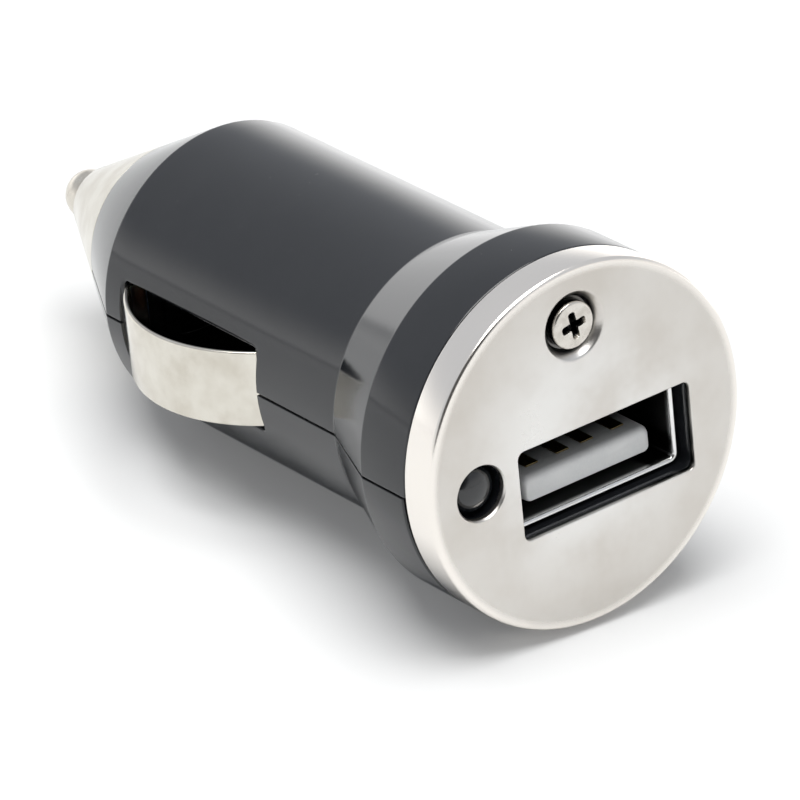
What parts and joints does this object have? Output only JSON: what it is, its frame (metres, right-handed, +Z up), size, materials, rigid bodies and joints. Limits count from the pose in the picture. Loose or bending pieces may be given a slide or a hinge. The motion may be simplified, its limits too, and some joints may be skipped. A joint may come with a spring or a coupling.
{
  "type": "car usb charger plug",
  "caption": "Plug-in charger for a car's 12 V socket: round metal face with a flat charging socket, split barrel with bowed side clips, tapered nose with a sprung contact pin.",
  "frame": {"origin": "on the plug's axis, in the plane where the taper behind the head ends and the barrel starts, which is where the plug meets the mouth of the car's socket", "axes": "+Y along the axis towards the contact pin, the metal face looks to -Y, +Z up through the face screw, +X to the right as the face is seen, the seam between the shells is the XY plane"},
  "size_m": [0.0256, 0.057, 0.025],
  "materials": {
    "black_plastic": "satin gloss moulded",
    "satin_cap": "satin nickel plate",
    "screw_steel": "nickel plate",
    "nickel": "bright nickel plate",
    "pin_metal": "worn nickel plate",
    "spring_steel": "drawn wire",
    "brass_parts": "turned",
    "socket_steel": "tinned sheet",
    "white_plastic": "moulded insulator",
    "gold_contacts": "gold flash",
    "green_board": "solder mask",
    "smoky_lens": "dark clear resin",
    "tinned_metal": "tinned",
    "ferrite": "pressed ferrite",
    "copper_wire": "enamelled wire",
    "sleeved_can": "aluminium can in a shrink sleeve",
    "chip_resin": "moulded resin",
    "tan_ceramic": "fired ceramic",
    "red_wire": "insulated wire"
  },
  "bodies": {
    "housing": {"upper_shell": "black_plastic", "lower_shell": "black_plastic", "face_cap": "satin_cap", "face_screw": "screw_steel", "nose_cap": "nickel", "contact_spring": "spring_steel", "spring_seat": "brass_parts", "socket_shell": "socket_steel", "socket_tongue": "white_plastic", "socket_contacts": "gold_contacts", "circuit_board": "green_board", "indicator_lamp": "smoky_lens", "lamp_leads": "tinned_metal", "drum_core": "ferrite", "drum_winding": "copper_wire", "input_capacitor": "sleeved_can", "output_capacitor": "sleeved_can", "regulator_chip": "chip_resin", "regulator_leads": "tinned_metal", "catch_diode": "chip_resin", "chip_resistors": "chip_resin", "chip_capacitors": "tan_ceramic", "positive_lead": "red_wire", "left_ground_tab": "tinned_metal", "right_ground_tab": "tinned_metal"},
    "pin": {"contact_pin": "pin_metal"},
    "clip_left": {"left_clip": "nickel"},
    "clip_right": {"right_clip": "nickel"}
  },
  "joints": [
    {"name": "pin_press", "type": "slide", "parent": "housing", "child": "pin", "axis": [0, -1, 0], "range_m": [0, 0.002], "stiffness_N_per_m": 1000, "springref_m": -0.001, "deforming": ["contact_spring"]},
    {"name": "left_clip_press", "type": "slide", "parent": "housing", "child": "clip_left", "axis": [1, 0, 0], "range_m": [0, 0.0022], "stiffness_N_per_m": 2000, "springref_m": -0.0002},
    {"name": "right_clip_press", "type": "slide", "parent": "housing", "child": "clip_right", "axis": [-1, 0, 0], "range_m": [0, 0.0022], "stiffness_N_per_m": 2000, "springref_m": -0.0002}
  ]
}
